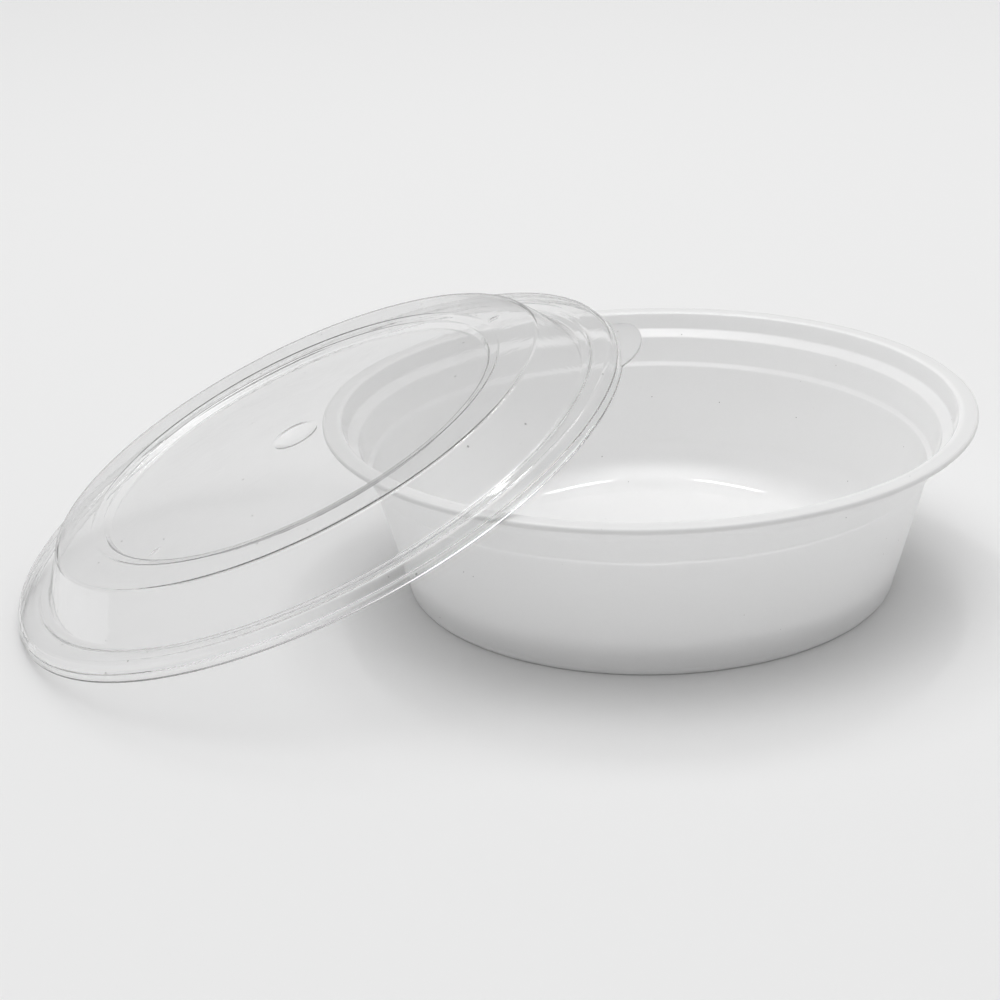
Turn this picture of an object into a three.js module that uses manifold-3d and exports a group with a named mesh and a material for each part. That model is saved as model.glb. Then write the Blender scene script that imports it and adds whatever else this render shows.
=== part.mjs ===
// Round plastic bowl with its clear domed lid leaning on the rim, in millimetres, +Z up.
// The origin is the middle of the bowl's flat base, and the lid leans towards -X.
import * as THREE from 'three';
import * as BufferGeometryUtils from 'three/addons/utils/BufferGeometryUtils.js';
import Module from 'manifold-3d';

const wasm = await Module();
wasm.setup();

// Bowl: driving dimensions
const RIM_RADIUS = 92;
const RIM_TOP = 51;
const RIM_WIDTH = 5.3;
const RIM_THICKNESS = 0.9;
const BASE_RADIUS = 70;
const BASE_EDGE_ROUND = 1.8;
const FLOOR_TOP = 0.9;
const FLOOR_ROUND = 9;
const BOWL_WALL = 0.8;
const LOWER_WALL_TOP = { radius: 79.4, height: 36.2 };
const NARROW_LEDGE = { radius: 80.6, height: 37.2 };
const MIDDLE_WALL_TOP = { radius: 83.1, height: 43.6 };
const WIDE_LEDGE = { radius: 85.9, height: 45.7 };
const NECK_TOP = { radius: 87.4, height: 49.7 };

// Lid: driving dimensions, with heights from the lower edge of its skirt
const SKIRT_RADIUS = 94;
const LID_WALL = 0.5;
const SKIRT_BEAD_HEIGHT = 2.1;
const FLANGE_RADII = { inner: 86.4, outer: 92.3 };
const FLANGE_TOP = 4.9;
const GUTTER_RADII = { inner: 83.4, outer: 85.2 };
const GUTTER_FLOOR = 3.2;
const DOME_RADIUS = 74.9;
const DOME_TOP = 15.1;
const SHOULDER_ROUND = 2.2;
const RING_INNER_RADIUS = 62.6;
const PANEL_RADIUS = 58.8;
const PANEL_EDGE = 12.6;
const PANEL_CROWN = 1.3;
const BUTTON_RADIUS = 6.2;
const BUTTON_DEPTH = 0.6;

// Pull tab at the skirt's lower edge
const TAB_REACH = 100;
const TAB_ROUND = 18.5;
const TAB_THICKNESS = 0.6;
const TAB_TURN_DEGREES = -9;

// How the lid leans: its skirt stands on the table and its panel lies on the bowl's rim
const LID_TILT_DEGREES = 22.05;
const LID_CENTRE = new THREE.Vector3(-94.2, 10.2, 35.45);

const TURN_STEPS = 72;
const CROWN_STEPS = 4;
const ROUND_STEPS = 3;
const TAB_STEPS = 10;

const whitePlastic = new THREE.MeshStandardMaterial({
  name: 'white_plastic',
  color: 0xf2f2f0,
  roughness: 0.32,
  metalness: 0,
});
const clearPlastic = new THREE.MeshStandardMaterial({
  name: 'clear_plastic',
  color: 0xeef1f2,
  roughness: 0.08,
  metalness: 0,
  transparent: true,
  opacity: 0.3,
});

function corner(radius, height, round = 0) {
  return { at: new THREE.Vector2(radius, height), round };
}

// Points of an outline given by its corners, each rounded by an arc that touches both sides.
function rounded(corners) {
  return corners.flatMap(({ at, round }, i) => {
    if (round === 0) {
      return [at];
    }
    const toBefore = corners[i - 1].at.clone().sub(at).normalize();
    const toAfter = corners[i + 1].at.clone().sub(at).normalize();
    const halfAngle = Math.acos(toBefore.dot(toAfter)) / 2;
    const centre = at.clone().addScaledVector(
      toBefore.clone().add(toAfter).normalize(),
      round / Math.sin(halfAngle),
    );
    const tangent = round / Math.tan(halfAngle);
    const start = at.clone().addScaledVector(toBefore, tangent).sub(centre);
    const end = at.clone().addScaledVector(toAfter, tangent).sub(centre);
    const turn = Math.atan2(start.cross(end), start.dot(end));
    return Array.from({ length: ROUND_STEPS + 1 }, (_, k) => (
      start.clone().rotateAround(new THREE.Vector2(), turn * k / ROUND_STEPS).add(centre)
    ));
  });
}

// The same outline moved to the right of its own direction, square to each side.
function movedRight(outline, distance) {
  const right = (a, b) => new THREE.Vector2(b.y - a.y, a.x - b.x).normalize();
  return outline.map((p, i) => {
    const before = right(outline[Math.max(i - 1, 0)], outline[Math.max(i, 1)]);
    const last = outline.length - 1;
    const after = right(outline[Math.min(i, last - 1)], outline[Math.min(i + 1, last)]);
    const middle = before.clone().add(after).normalize();
    const moved = p.clone().addScaledVector(middle, distance / middle.dot(after));
    return i === 0 ? moved.setX(0) : moved;
  });
}

function merged(geometry) {
  geometry.deleteAttribute('normal');
  geometry.deleteAttribute('uv');
  return BufferGeometryUtils.mergeVertices(geometry, 1e-4);
}

// Merging closes the seam and the poles, and the flat triangles that it leaves there are dropped.
function toSolid(geometry) {
  const mesh = merged(geometry);
  const index = mesh.index.array;
  const kept = [];
  for (let i = 0; i < index.length; i += 3) {
    const [a, b, c] = index.slice(i, i + 3);
    if (a !== b && b !== c && c !== a) {
      kept.push(a, b, c);
    }
  }
  return new wasm.Manifold(new wasm.Mesh({
    numProp: 3,
    vertProperties: new Float32Array(mesh.attributes.position.array),
    triVerts: new Uint32Array(kept),
  }));
}

function toGeometry(solid) {
  const { vertProperties, triVerts } = solid.getMesh();
  const geometry = new THREE.BufferGeometry();
  geometry.setAttribute('position', new THREE.BufferAttribute(vertProperties, 3));
  geometry.setIndex(new THREE.BufferAttribute(triVerts, 1));
  geometry.computeVertexNormals();
  return geometry;
}

// A closed outline that starts and ends on the axis, turned about +Z.
function turned(outline) {
  return toSolid(new THREE.LatheGeometry(outline, TURN_STEPS).rotateX(Math.PI / 2));
}

function makeBowl() {
  const rimInner = RIM_RADIUS - RIM_WIDTH;
  const outside = [
    corner(0, 0),
    corner(BASE_RADIUS, 0, BASE_EDGE_ROUND),
    corner(LOWER_WALL_TOP.radius, LOWER_WALL_TOP.height),
    corner(NARROW_LEDGE.radius, NARROW_LEDGE.height),
    corner(MIDDLE_WALL_TOP.radius, MIDDLE_WALL_TOP.height),
    corner(WIDE_LEDGE.radius, WIDE_LEDGE.height),
    corner(NECK_TOP.radius, NECK_TOP.height),
  ];
  const rim = [
    corner(RIM_RADIUS - 2.6, RIM_TOP - 0.45 - RIM_THICKNESS),
    corner(RIM_RADIUS - 0.5, RIM_TOP - 2.1),
    corner(RIM_RADIUS, RIM_TOP - 1.4),
    corner(RIM_RADIUS - 1.2, RIM_TOP - 0.4),
    corner(RIM_RADIUS - 3.4, RIM_TOP),
    corner(rimInner, RIM_TOP - 0.4),
  ];
  const inside = [
    corner(WIDE_LEDGE.radius - BOWL_WALL, WIDE_LEDGE.height + 0.4),
    corner(MIDDLE_WALL_TOP.radius - BOWL_WALL, MIDDLE_WALL_TOP.height + 0.4),
    corner(NARROW_LEDGE.radius - BOWL_WALL, NARROW_LEDGE.height - 0.5),
    corner(LOWER_WALL_TOP.radius - BOWL_WALL, LOWER_WALL_TOP.height - 0.6),
    corner(BASE_RADIUS - BOWL_WALL + 0.2, FLOOR_TOP, FLOOR_ROUND),
    corner(0, FLOOR_TOP),
  ];
  return turned(rounded([...outside, ...rim, ...inside]));
}

// Height of the crowned middle panel at a distance from the lid's axis.
function panelHeight(radius) {
  return PANEL_EDGE + PANEL_CROWN * (1 - (radius / PANEL_RADIUS) ** 2);
}

function makeLidShell() {
  const crown = [];
  for (let i = 0; i <= CROWN_STEPS; i += 1) {
    const radius = BUTTON_RADIUS + (PANEL_RADIUS - BUTTON_RADIUS) * i / CROWN_STEPS;
    crown.push(corner(radius, panelHeight(radius)));
  }
  const upperSide = rounded([
    corner(0, panelHeight(0) - BUTTON_DEPTH),
    corner(BUTTON_RADIUS - 1.4, panelHeight(0) - BUTTON_DEPTH),
    ...crown,
    corner(RING_INNER_RADIUS, DOME_TOP),
    corner(DOME_RADIUS, DOME_TOP, SHOULDER_ROUND),
    corner(GUTTER_RADII.inner, GUTTER_FLOOR),
    corner(GUTTER_RADII.outer, GUTTER_FLOOR),
    corner(FLANGE_RADII.inner, FLANGE_TOP),
    corner(FLANGE_RADII.outer - 0.9, FLANGE_TOP),
    corner(FLANGE_RADII.outer, FLANGE_TOP - 0.8),
    corner(SKIRT_RADIUS - 1.2, SKIRT_BEAD_HEIGHT + 0.6),
    corner(SKIRT_RADIUS - 0.5, SKIRT_BEAD_HEIGHT),
    corner(SKIRT_RADIUS - 0.9, SKIRT_BEAD_HEIGHT - 0.7),
    corner(SKIRT_RADIUS - 0.6, LID_WALL),
    corner(SKIRT_RADIUS, LID_WALL),
  ]);
  const underSide = movedRight(upperSide, LID_WALL).reverse();
  return turned([...upperSide, ...underSide].reverse());
}

// A round tongue that reaches out past the skirt, with its root inside the skirt's wall.
function makeTab() {
  const root = SKIRT_RADIUS - 0.8;
  const centre = TAB_REACH - TAB_ROUND;
  const cornerX = (root ** 2 - TAB_ROUND ** 2 + centre ** 2) / (2 * centre);
  const cornerY = Math.sqrt(root ** 2 - cornerX ** 2);
  const tipAngle = Math.atan2(cornerY, cornerX - centre);
  const rootAngle = Math.atan2(cornerY, cornerX);
  const outline = new THREE.Shape();
  outline.absarc(centre, 0, TAB_ROUND, -tipAngle, tipAngle, false);
  outline.absarc(0, 0, root, rootAngle, -rootAngle, true);
  const plate = new THREE.ExtrudeGeometry(outline, {
    depth: TAB_THICKNESS,
    bevelEnabled: false,
    curveSegments: TAB_STEPS,
  });
  plate.rotateZ(THREE.MathUtils.degToRad(TAB_TURN_DEGREES));
  return toSolid(plate);
}

function makeLid() {
  return makeLidShell().add(makeTab());
}

const bowl = new THREE.Mesh(toGeometry(makeBowl()), whitePlastic);
bowl.name = 'bowl';

const lid = new THREE.Mesh(toGeometry(makeLid()), clearPlastic);
lid.name = 'lid';
lid.position.copy(LID_CENTRE);
lid.rotation.y = -THREE.MathUtils.degToRad(LID_TILT_DEGREES);

const bowlWithLid = new THREE.Group();
bowlWithLid.add(bowl, lid);
export default bowlWithLid;
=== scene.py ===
# Round white plastic bowl for game stones, with its clear domed lid leaning on the rim.
import math

import bpy
from mathutils import Matrix, Vector


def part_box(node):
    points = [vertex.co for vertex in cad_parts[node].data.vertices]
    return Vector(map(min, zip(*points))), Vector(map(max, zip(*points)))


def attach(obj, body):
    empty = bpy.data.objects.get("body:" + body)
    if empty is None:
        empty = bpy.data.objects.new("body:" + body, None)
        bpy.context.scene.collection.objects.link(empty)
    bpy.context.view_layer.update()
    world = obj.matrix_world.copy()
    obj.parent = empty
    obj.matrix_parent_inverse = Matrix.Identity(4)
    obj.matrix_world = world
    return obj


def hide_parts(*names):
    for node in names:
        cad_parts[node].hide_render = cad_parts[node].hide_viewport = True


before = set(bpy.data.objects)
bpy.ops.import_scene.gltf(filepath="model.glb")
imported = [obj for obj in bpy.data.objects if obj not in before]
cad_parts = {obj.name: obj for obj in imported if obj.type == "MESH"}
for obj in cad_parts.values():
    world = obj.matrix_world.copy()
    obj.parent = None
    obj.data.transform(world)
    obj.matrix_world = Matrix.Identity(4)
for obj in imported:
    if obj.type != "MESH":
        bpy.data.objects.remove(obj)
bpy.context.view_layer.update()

mm = 0.001
samePlace = 0.01 * mm
mergeWithin = 0.001 * mm


# The camera stands in front of the bowl, a little to its left and above it.
cameraView = {
    "place": (-135.4 * mm, -549.1 * mm, 252.2 * mm),
    "turn": -9.5,
    "lookDown": 22.1,
    "roll": -2.5,
    "lens": 75.9,
    "nearest": 0.01,
}


def makeCamera(view):
    data = bpy.data.cameras.new("camera")
    data.lens = view["lens"]
    data.clip_start = view["nearest"]
    camera = bpy.data.objects.new("camera", data)
    bpy.context.scene.collection.objects.link(camera)
    turn = Matrix.Rotation(math.radians(view["turn"]), 3, "Z")
    tilt = Matrix.Rotation(math.radians(90 - view["lookDown"]), 3, "X")
    roll = Matrix.Rotation(math.radians(view["roll"]), 3, "Z")
    camera.location = view["place"]
    camera.rotation_euler = (turn @ tilt @ roll).to_euler()
    bpy.context.scene.camera = camera


makeCamera(cameraView)
print("camera placed")


# Ways of working that both pieces share.
def editMode():
    bpy.ops.object.mode_set(mode="EDIT")


def objectMode():
    bpy.ops.object.mode_set(mode="OBJECT")


def selectOnly(piece):
    bpy.ops.object.select_all(action="DESELECT")
    piece.select_set(True)
    bpy.context.view_layer.objects.active = piece


def selectPoints(piece, wanted):
    # Leaves edit mode on, with just the wanted points selected.
    editMode()
    bpy.ops.mesh.select_mode(type="VERT")
    bpy.ops.mesh.select_all(action="DESELECT")
    objectMode()
    for point in piece.data.vertices:
        point.select = wanted(point.co)
    editMode()


def drawOutline(name, corners):
    # A plane merged to one point is extruded from corner to corner, in the XZ plane.
    bpy.ops.object.select_all(action="DESELECT")
    bpy.ops.mesh.primitive_plane_add(size=1 * mm)
    piece = bpy.context.object
    piece.name = name
    editMode()
    bpy.ops.mesh.merge(type="CENTER")
    places = [Vector((radius, 0, height)) * mm for radius, height, soft in corners]
    bpy.ops.transform.translate(value=places[0])
    for start, end in zip(places, places[1:]):
        bpy.ops.mesh.extrude_region_move(TRANSFORM_OT_translate={"value": end - start})
    objectMode()
    return piece


def softenCorners(piece, corners, segments):
    # A wide corner takes more segments: one for each mm of its softness.
    for radius, height, soft in corners:
        if soft == 0:
            continue
        place = Vector((radius, 0, height)) * mm
        selectPoints(piece, lambda co: (co - place).length < samePlace)
        bpy.ops.mesh.bevel(
            offset=soft * mm,
            offset_type="OFFSET",
            segments=max(segments, round(soft)),
            profile=0.5,
            affect="VERTICES",
        )
        objectMode()


def turnRound(piece, steps):
    editMode()
    bpy.ops.mesh.select_all(action="SELECT")
    bpy.ops.mesh.spin(steps=steps, angle=2 * math.pi, center=(0, 0, 0), axis=(0, 0, 1))
    bpy.ops.mesh.select_all(action="SELECT")
    bpy.ops.mesh.remove_doubles(threshold=mergeWithin)
    bpy.ops.mesh.normals_make_consistent(inside=False)
    objectMode()


def settle(piece):
    # The place goes into the mesh, so that patterns and poses use one frame.
    selectOnly(piece)
    bpy.ops.object.transform_apply(location=True, rotation=True, scale=True)


def smooth(piece, angle):
    selectOnly(piece)
    bpy.ops.object.shade_smooth_by_angle(angle=math.radians(angle))


# A shader value as a Python expression: this class wraps a socket.
class Wire:
    def __init__(self, finish, socket):
        self.finish = finish
        self.socket = socket

    def work(self, operation, first, second):
        return self.finish.add("ShaderNodeMath", {"operation": operation}, {0: first, 1: second})

    def __add__(self, other):
        return self.work("ADD", self, other)

    def __radd__(self, other):
        return self.work("ADD", other, self)

    def __sub__(self, other):
        return self.work("SUBTRACT", self, other)

    def __rsub__(self, other):
        return self.work("SUBTRACT", other, self)

    def __mul__(self, other):
        return self.work("MULTIPLY", self, other)

    def __rmul__(self, other):
        return self.work("MULTIPLY", other, self)

    def __pow__(self, other):
        return self.work("POWER", self, other)

    def atLeast(self, low):
        return self.work("MAXIMUM", self, low)


# The nodes of a material, or of the world.
class Finish:
    def __init__(self, owner):
        owner.use_nodes = True
        self.owner = owner
        self.tree = owner.node_tree
        self.tree.nodes.clear()

    def add(self, kind, settings, sockets, output=0):
        node = self.tree.nodes.new(kind)
        for key, value in settings.items():
            setattr(node, key, value)
        for key, value in sockets.items():
            if isinstance(value, Wire):
                self.tree.links.new(value.socket, node.inputs[key])
            else:
                node.inputs[key].default_value = value
        return Wire(self, node.outputs[output] if len(node.outputs) else None)

    def place(self, kind="Object"):
        return self.add("ShaderNodeTexCoord", {}, {}, output=kind)

    def along(self, first, second):
        settings = {"operation": "DOT_PRODUCT"}
        return self.add("ShaderNodeVectorMath", settings, {0: first, 1: second}, output=1)

    def noise(self, place, scale, detail=2.0):
        return self.add("ShaderNodeTexNoise", {}, {"Vector": place, "Scale": scale, "Detail": detail})

    def between(self, value, low, high):
        return self.add(
            "ShaderNodeMapRange", {"interpolation_type": "SMOOTHSTEP"}, {0: value, 1: low, 2: high}
        )

    def mixColour(self, share, first, second):
        settings = {"data_type": "RGBA"}
        return self.add("ShaderNodeMix", settings, {0: share, 6: first, 7: second}, output=2)

    def specks(self, place, look):
        # Small round specks: of the cells of a pattern, a few have one in their middle.
        settings = {"voronoi_dimensions": "3D", "feature": "F1"}
        sockets = {"Vector": place, "Scale": 1 / look["speckSpacing"]}
        distance = self.add("ShaderNodeTexVoronoi", settings, sockets, output="Distance")
        lot = self.add("ShaderNodeTexVoronoi", settings, sockets, output="Color")
        lot = self.add("ShaderNodeSeparateColor", {}, {"Color": lot}, output="Red")
        size = look["speckSize"] / look["speckSpacing"]
        softEdge = 0.4 * size
        near = 1 - self.between(distance, size - softEdge, size)
        lowest = 1 - look["speckShare"]
        return near * self.between(lot, lowest, lowest + 0.001)

    def bump(self, height, distance):
        return self.add("ShaderNodeBump", {}, {"Height": height, "Distance": distance})

    def finish(self, surface, kind="Material"):
        self.add("ShaderNodeOutput" + kind, {}, {"Surface": surface})
        return self.owner


# Bowl: corners are radius, height and how far back each side is softened, in mm.
bowlShape = {
    "corners": [
        (0, 0, 0),
        (62.5, 0, 0.3),
        (63.1, 0.5, 0.3),
        (66.4, 0.5, 0.3),
        (67.0, 0, 0.3),
        (69.9, 0, 0.7),
        (70.45, 1.5, 0.35),
        (70.45, 2.0, 0.2),
        (79.4, 36.2, 0.5),
        (80.6, 37.2, 0.5),
        (83.1, 43.6, 1.0),
        (85.9, 45.7, 1.0),
        (87.4, 49.7, 0.6),
        (89.4, 49.65, 0.6),
        (90.9, 49.15, 0.3),
        (91.95, 49.2, 0.8),
        (92.0, 50.95, 0.85),
        (89.6, 51.0, 0.9),
        (86.7, 50.7, 0.4),
        (85.1, 46.1, 0.35),
        (82.3, 44.0, 0.35),
        (79.8, 36.7, 0.3),
        (78.6, 35.6, 0.35),
        (69.4, 0.9, 13.0),
        (0, 0.9, 0),
    ],
    "roundSegments": 5,
    "turnSteps": 256,
    "smoothAngle": 40,
}


def makeBowl(shape):
    piece = drawOutline("bowl_white_plastic", shape["corners"])
    softenCorners(piece, shape["corners"], shape["roundSegments"])
    turnRound(piece, shape["turnSteps"])
    smooth(piece, shape["smoothAngle"])
    return piece


whitePlastic = {
    "colour": (0.935, 0.935, 0.933, 1),
    "shade": (0.915, 0.915, 0.913, 1),
    # The rim's darker colour is painted shade, standing in for the shaded band along its lip.
    "rim": (0.87, 0.87, 0.868, 1),
    "rimStart": 88 * mm,
    "rimBlend": 0.5 * mm,
    "outsideFrom": 10 * mm,
    "outsideTo": 40 * mm,
    "speck": (0.30, 0.29, 0.28, 1),
    "speckSpacing": 2.2 * mm,
    "speckSize": 0.2 * mm,
    "speckShare": 0.06,
    "ior": 1.49,
    "insideRoughness": 0.09,
    "outsideRoughness": 0.34,
    "wallTranslucency": 1.0,
    "rimTranslucency": 0.0,
    "depth": 1.0 * mm,
    "grainSpacing": 0.7 * mm,
    "grainDepth": 0.006 * mm,
    "grainInside": 0.15,
    "cloudScale": 25,
    "cloudShare": 0.05,
}


def makeWhitePlastic(look):
    finish = Finish(bpy.data.materials.new("white_plastic"))
    place = finish.place()
    # The outside faces away from the bowl's axis. It is moulded with a grain, and the inside is glossy.
    level = finish.add("ShaderNodeVectorMath", {"operation": "MULTIPLY"}, {0: place, 1: (1, 1, 0)})
    outwards = finish.along(finish.place("Normal"), level)
    outside = finish.between(outwards, look["outsideFrom"], look["outsideTo"])
    cloud = finish.noise(place, look["cloudScale"], 3)
    grain = finish.noise(place, 1 / look["grainSpacing"], 2)
    satin = look["outsideRoughness"] - look["insideRoughness"]
    roughness = look["insideRoughness"] + outside * satin + (cloud - 0.5) * look["cloudShare"]
    # Light goes through the thin wall, and not through the thick rim. The rim and its lip are also
    # given a darker colour, as painted shade.
    radius = finish.add("ShaderNodeVectorMath", {"operation": "LENGTH"}, {0: level}, output=1)
    blend = look["rimBlend"]
    rim = finish.between(radius, look["rimStart"] - blend, look["rimStart"] + blend)
    colour = finish.mixColour(grain, look["colour"], look["shade"])
    # Painted shade: the rim and its lip take the darker colour.
    colour = finish.mixColour(rim, colour, look["rim"])
    speckled = finish.mixColour(finish.specks(place, look), colour, look["speck"])
    share = look["grainInside"] + (1 - look["grainInside"]) * outside
    bump = finish.bump(grain * share, look["grainDepth"])
    surfaces = [
        finish.add(
            "ShaderNodeBsdfPrincipled",
            {"subsurface_method": "RANDOM_WALK"},
            {
                "Base Color": speckled,
                "Roughness": roughness,
                "IOR": look["ior"],
                "Subsurface Weight": translucency,
                "Subsurface Radius": (1, 1, 1),
                "Subsurface Scale": look["depth"],
                "Normal": bump,
            },
        )
        for translucency in (look["wallTranslucency"], look["rimTranslucency"])
    ]
    both = finish.add("ShaderNodeMixShader", {}, {0: rim, 1: surfaces[0], 2: surfaces[1]})
    return finish.finish(both)


# Lid: one clear sheet, corners as on the bowl, with heights from the skirt's lower edge.
lidShape = {
    "corners": [
        (0, 12.2, 0),
        (2.2, 12.3, 0.9),
        (4.4, 12.85, 0.9),
        (6.0, 13.55, 0.6),
        (6.9, 13.9, 0.6),
        (20.0, 13.75, 4.0),
        (40.0, 13.3, 6.0),
        (58.6, 12.5, 0.35),
        (59.9, 14.3, 0.4),
        (62.4, 14.7, 0.4),
        (63.2, 15.05, 0.35),
        (73.2, 14.93, 0.4),
        (74.2, 15.05, 0.35),
        (74.9, 14.8, 0.3),
        (83.4, 3.2, 0.5),
        (85.2, 3.2, 0.5),
        (86.4, 4.9, 0.8),
        (92.0, 4.9, 1.0),
        (92.8, 2.9, 0.3),
        (93.5, 2.1, 0.35),
        (93.1, 1.4, 0.3),
        (93.3, 0.5, 0.25),
        (94.0, 0.5, 0),
    ],
    "roundSegments": 4,
    "turnSteps": 256,
    "smoothAngle": 40,
    "sheet": 0.5,
    "tilt": 22.05,
    "skirtRadius": 94.0,
    "beadRadius": 93.5,
    "beadHeight": 2.1,
    "tabTurn": -9.0,
    "tabReach": 6.0,
    "tabHalfWidth": 15.5,
    "skirtInnerRadius": 92.2,
    "tabInnerRadius": 94.1,
    # Moulding pips, as radius and degrees from the raised side, with the size that each takes up.
    "pips": [(54.2, -147), (66.0, 9)],
    "pipRadius": 1.6,
    "pipHeight": 0.25,
    "pipCuts": 12,
}


def lidCentre(shape):
    # The skirt's bead and lower edge set the lowest corner of the lid's box.
    low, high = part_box("lid")
    tilt = math.radians(shape["tilt"])
    across = shape["beadRadius"] * math.cos(tilt) + shape["beadHeight"] * math.sin(tilt)
    rise = shape["skirtRadius"] * math.sin(tilt)
    return Vector((low[0] + across * mm, low[1] + shape["skirtRadius"] * mm, low[2] + rise * mm))


def drawOutTab(piece, shape):
    # All but the skirt's outermost ring is hidden, so that only the ring follows the pull.
    edge = shape["skirtRadius"] * mm
    turn = math.radians(shape["tabTurn"])
    outwards = Vector((math.cos(turn), math.sin(turn), 0))
    selectPoints(piece, lambda co: co.xy.length < edge - 5 * samePlace)
    bpy.ops.mesh.hide(unselected=False)
    objectMode()
    ring = [point for point in piece.data.vertices if not point.hide]
    tip = max(ring, key=lambda point: point.co.dot(outwards))
    tip.select = True
    editMode()
    bpy.ops.transform.translate(
        value=outwards * shape["tabReach"] * mm,
        use_proportional_edit=True,
        proportional_edit_falloff="SPHERE",
        proportional_size=shape["tabHalfWidth"] * mm,
    )
    bpy.ops.mesh.reveal(select=False)
    objectMode()


def isNear(corners, place, size):
    # For a face, as seen from above: within the place's radius and near its direction.
    radii = [corner.length for corner in corners]
    spans = min(radii) - size < place.length < max(radii) + size
    apart = min((corner.normalized() - place.normalized()).length for corner in corners)
    return spans and apart < 2 * size / place.length


def cutFinely(piece, place, size, cuts):
    selectPoints(piece, lambda co: False)
    bpy.ops.mesh.select_mode(type="FACE")
    objectMode()
    for face in piece.data.polygons:
        corners = [piece.data.vertices[i].co.xy for i in face.vertices]
        face.select = isNear(corners, place, size)
    editMode()
    bpy.ops.mesh.subdivide(number_cuts=cuts)
    objectMode()


def raisePip(piece, shape, radius, degrees):
    # The long faces about the pip are cut, and one point is pulled up with its neighbours.
    turn = math.radians(degrees)
    place = Vector((math.cos(turn), math.sin(turn))) * radius * mm
    size = shape["pipRadius"] * mm
    cutFinely(piece, place, size, shape["pipCuts"])
    tip = min(piece.data.vertices, key=lambda point: (point.co.xy - place).length).index
    selectPoints(piece, lambda co: False)
    objectMode()
    piece.data.vertices[tip].select = True
    editMode()
    bpy.ops.transform.translate(
        value=(0, 0, shape["pipHeight"] * mm),
        use_proportional_edit=True,
        proportional_edit_falloff="SMOOTH",
        proportional_size=size,
    )
    objectMode()


def finishEdges(piece, shape):
    # The skirt and the tab have a finish of their own, the second and third of the piece.
    for face in piece.data.polygons:
        radius = max(piece.data.vertices[i].co.xy.length for i in face.vertices)
        if radius > shape["tabInnerRadius"] * mm:
            face.material_index = 2
        elif radius > shape["skirtInnerRadius"] * mm:
            face.material_index = 1


def makeLid(shape, finishes, sheet):
    piece = drawOutline("lid_clear_plastic", shape["corners"])
    softenCorners(piece, shape["corners"], shape["roundSegments"])
    turnRound(piece, shape["turnSteps"])
    for radius, degrees in shape["pips"]:
        raisePip(piece, shape, radius, degrees)
    drawOutTab(piece, shape)
    for name, look in finishes.items():
        piece.data.materials.append(makeClearPlastic(name, look, sheet))
    finishEdges(piece, shape)
    wall = piece.modifiers.new("sheet", "SOLIDIFY")
    wall.thickness = shape["sheet"] * mm
    wall.offset = -1
    wall.use_even_offset = True
    selectOnly(piece)
    bpy.ops.object.modifier_apply(modifier=wall.name)
    piece.rotation_euler = (0, -math.radians(shape["tilt"]), 0)
    piece.location = lidCentre(shape)
    settle(piece)
    smooth(piece, shape["smoothAngle"])
    return piece


# The sheet's finishes: its clear middle, its skirt, which holds back more light, and its frosted tab.
lidFinishes = {
    "clear_plastic": {"clear": 0.99, "roughness": 0.03, "shadow": 0.945, "ripple": 0.06 * mm},
    "clear_plastic_skirt": {"clear": 0.98, "roughness": 0.05, "shadow": 0.66, "ripple": 0.08 * mm},
    "clear_plastic_tab": {"clear": 0.99, "roughness": 0.4, "shadow": 0.9, "ripple": 0.02 * mm},
}
lidSheet = {
    "ior": 1.5,
    "rippleSpacing": 11 * mm,
    "speck": (0.35, 0.34, 0.33, 1),
    "speckSpacing": 6.0 * mm,
    "speckSize": 0.4 * mm,
    "speckShare": 0.3,
}


def grey(value):
    return (value, value, value, 1)


def makeClearPlastic(name, look, sheet):
    finish = Finish(bpy.data.materials.new(name))
    place = finish.place()
    ripple = finish.noise(place, 1 / sheet["rippleSpacing"], 3)
    dust = finish.specks(place, sheet)
    speckled = finish.mixColour(dust, grey(look["clear"]), sheet["speck"])
    clear = finish.add(
        "ShaderNodeBsdfPrincipled",
        {},
        {
            "Base Color": speckled,
            "Roughness": look["roughness"],
            "IOR": sheet["ior"],
            "Transmission Weight": 1.0,
            "Normal": finish.bump(ripple, look["ripple"]),
        },
    )
    # Light falls straight through the thin sheet, on its way from lamps and from other surfaces.
    through = finish.add("ShaderNodeBsdfTransparent", {}, {"Color": grey(look["shadow"])})
    for kind in ("Is Diffuse Ray", "Is Shadow Ray"):
        share = finish.add("ShaderNodeLightPath", {}, {}, output=kind)
        clear = finish.add("ShaderNodeMixShader", {}, {0: share, 1: clear, 2: through})
    return finish.finish(clear)


# Floor and light. Directions are degrees from +Y towards +X, and degrees above the floor.
room = {
    "floorSize": 8.0,
    "floorDrop": 0.02 * mm,
    "floorColour": (0.86, 0.86, 0.86, 1),
    "floorRoughness": 0.7,
    "floorShine": 0.15,
    "floorGrainScale": 400,
    "floorGrainDepth": 0.01 * mm,
    "skyStrength": 0.54,
    "skyLean": 0.17,
    "overheadTurn": 270,
    "overheadRise": 88,
    "overheadStrength": 4.35,
    "overheadFocus": 14,
    "windowDistance": 1.5,
    "windowTurns": (33, -9),
    "windowRise": 63,
    "windowSize": (0.06, 0.36),
    "windowPower": 1.3,
}


def direction(turn, rise):
    turn = math.radians(turn)
    rise = math.radians(rise)
    return Vector((math.sin(turn) * math.cos(rise), math.cos(turn) * math.cos(rise), math.sin(rise)))


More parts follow.
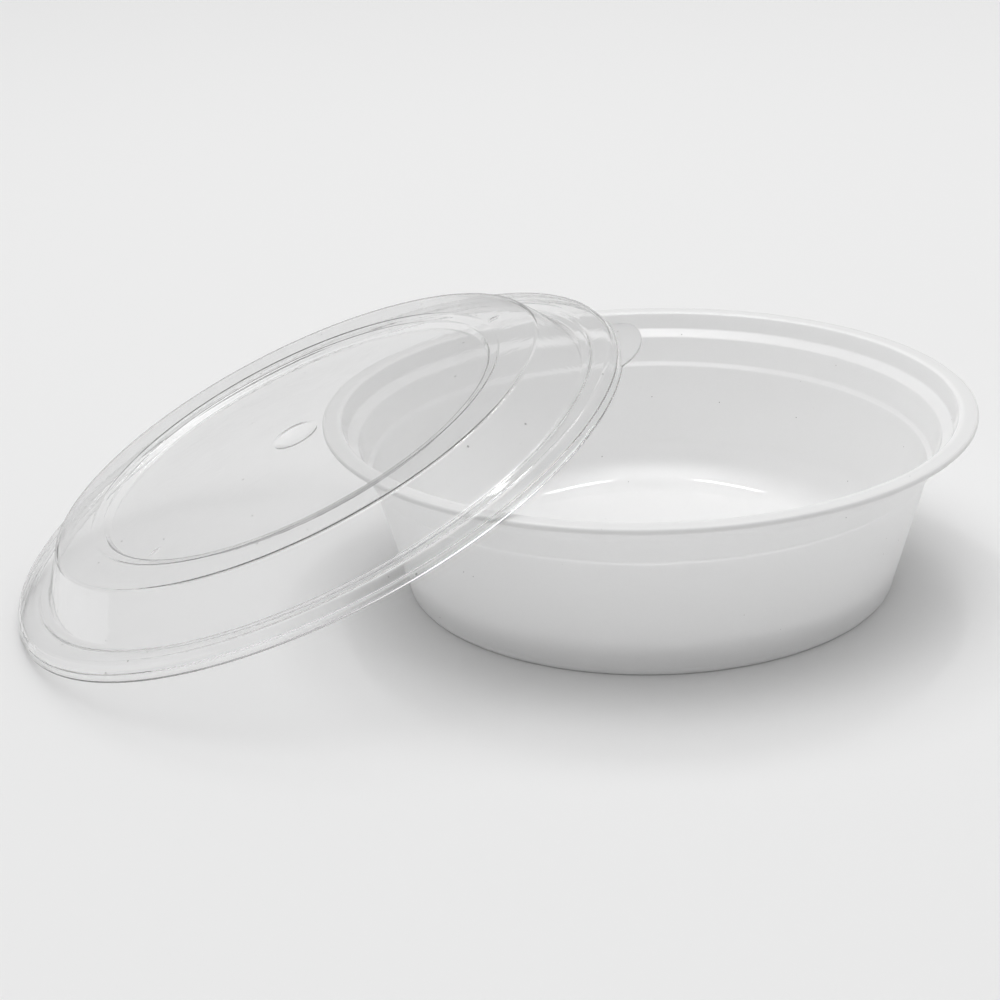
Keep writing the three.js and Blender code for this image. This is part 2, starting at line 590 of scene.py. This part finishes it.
def makeFloor(settings):
    bpy.ops.object.select_all(action="DESELECT")
    under = (0, 0, -settings["floorDrop"])
    bpy.ops.mesh.primitive_plane_add(size=settings["floorSize"], location=under)
    floor = bpy.context.object
    floor.name = "floor"
    finish = Finish(bpy.data.materials.new("pale_table"))
    grain = finish.noise(finish.place(), settings["floorGrainScale"], 3)
    surface = finish.add(
        "ShaderNodeBsdfPrincipled",
        {},
        {
            "Base Color": settings["floorColour"],
            "Roughness": settings["floorRoughness"],
            "Specular IOR Level": settings["floorShine"],
            "Normal": finish.bump(grain, settings["floorGrainDepth"]),
        },
    )
    floor.data.materials.append(finish.finish(surface))


def makeLamp(name, kind, place):
    data = bpy.data.lights.new(name, kind)
    lamp = bpy.data.objects.new(name, data)
    bpy.context.scene.collection.objects.link(lamp)
    lamp.location = place
    lamp.rotation_euler = place.to_track_quat("Z", "Y").to_euler()
    return data


def makeSky(settings):
    # Brightest overhead, fading to an even sky that is darker in front than behind.
    sky = Finish(bpy.data.worlds.new("studio"))
    towards = sky.place("Generated")
    overhead = direction(settings["overheadTurn"], settings["overheadRise"])
    glow = sky.along(towards, overhead).atLeast(0) ** settings["overheadFocus"]
    even = settings["skyStrength"] + settings["skyLean"] * sky.along(towards, (0, 1, 0))
    strength = even + settings["overheadStrength"] * glow
    light = sky.add("ShaderNodeBackground", {}, {"Strength": strength})
    bpy.context.scene.world = sky.finish(light, kind="World")


def makeLight(settings):
    makeSky(settings)
    for number, turn in enumerate(settings["windowTurns"]):
        place = direction(turn, settings["windowRise"]) * settings["windowDistance"]
        window = makeLamp(f"window_{number + 1}", "AREA", place)
        window.shape = "RECTANGLE"
        window.size, window.size_y = settings["windowSize"]
        window.energy = settings["windowPower"]
    bpy.context.scene.view_settings.view_transform = "Standard"


makeFloor(room)
makeLight(room)
print("floor and light made")

bowl = makeBowl(bowlShape)
bowl.data.materials.append(makeWhitePlastic(whitePlastic))
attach(bowl, "bowl")
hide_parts("bowl")
print("bowl made,", len(bowl.data.polygons), "faces")

lid = makeLid(lidShape, lidFinishes, lidSheet)
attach(lid, "lid")
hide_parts("lid")
print("lid made,", len(lid.data.polygons), "faces")
